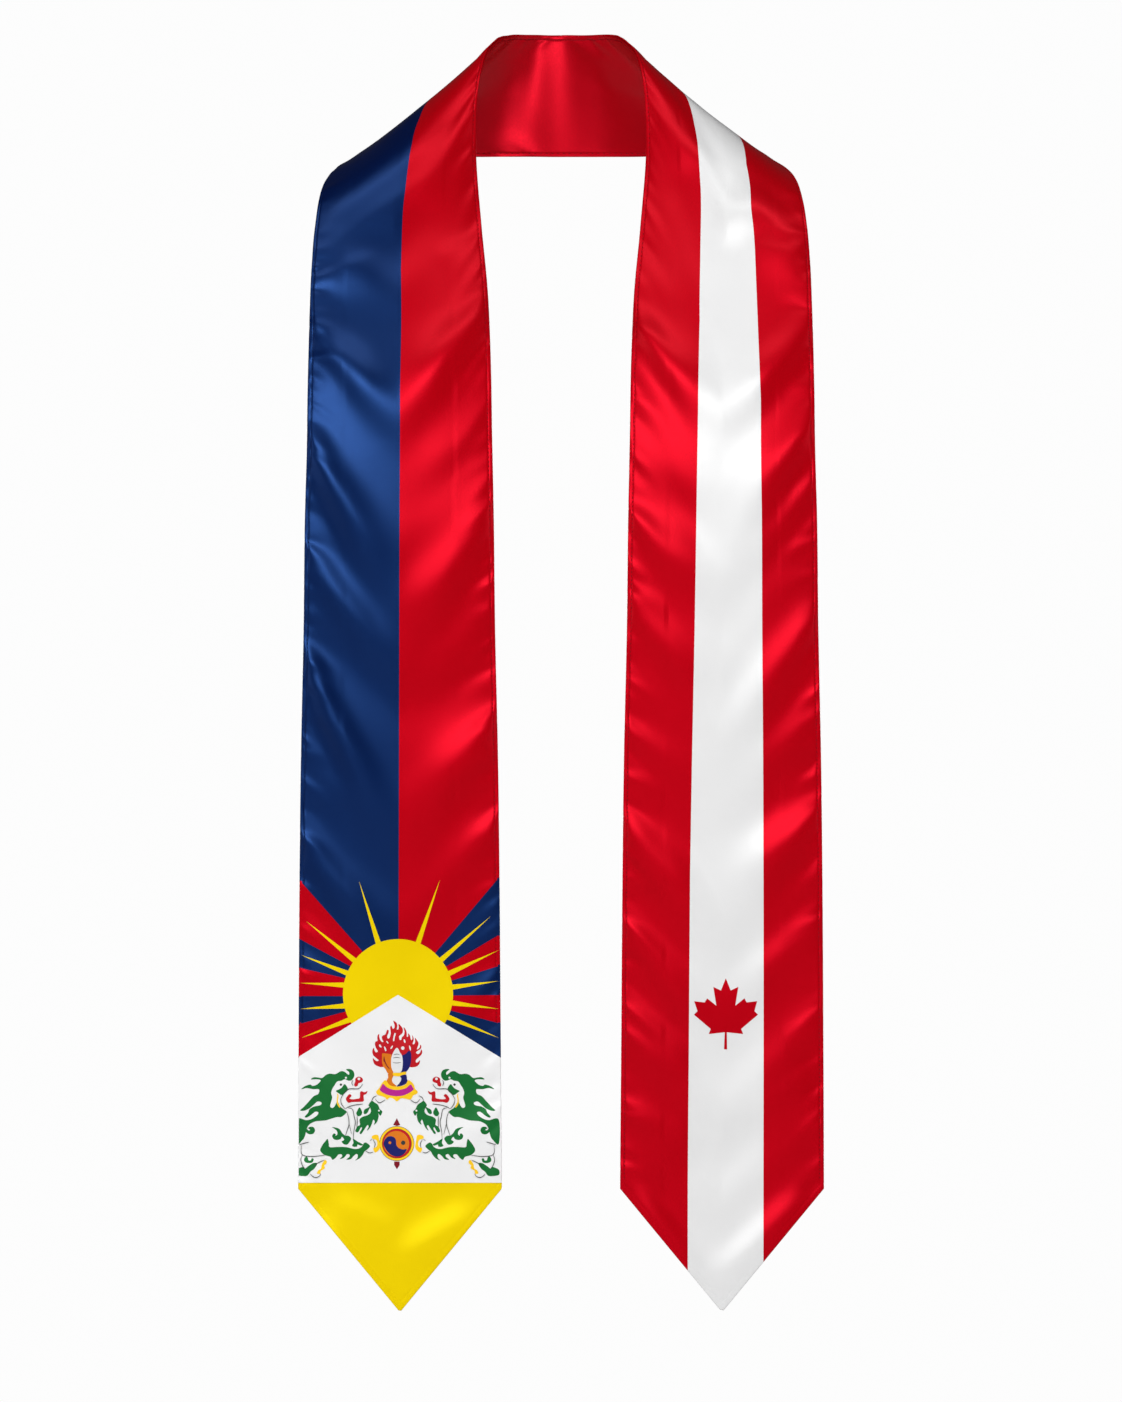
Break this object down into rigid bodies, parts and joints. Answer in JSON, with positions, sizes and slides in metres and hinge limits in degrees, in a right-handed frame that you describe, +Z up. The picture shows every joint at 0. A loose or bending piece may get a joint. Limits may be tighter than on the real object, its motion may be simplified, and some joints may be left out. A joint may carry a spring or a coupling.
{
  "type": "graduation stole",
  "caption": "Satin graduation stole worn round the neck: two printed panels on a plain lining, with long straps hanging in front to pointed ends.",
  "frame": {"origin": "the nape seat: middle of the neck band's inner face, on the centre plane", "axes": "+Z up along the hanging straps, -Y forward to the side where the straps hang, +X to the side of the right panel as seen from the front"},
  "size_m": [0.3276, 0.1728, 0.7957],
  "materials": {
    "left_satin": "smooth satin, printed blue and red in length with a yellow point",
    "right_satin": "smooth satin, printed red, white and red in length",
    "lining_satin": "plain red satin"
  },
  "bodies": {
    "root": {"left_panel": "left_satin", "right_panel": "right_satin", "lining": "lining_satin"}
  },
  "joints": []
}
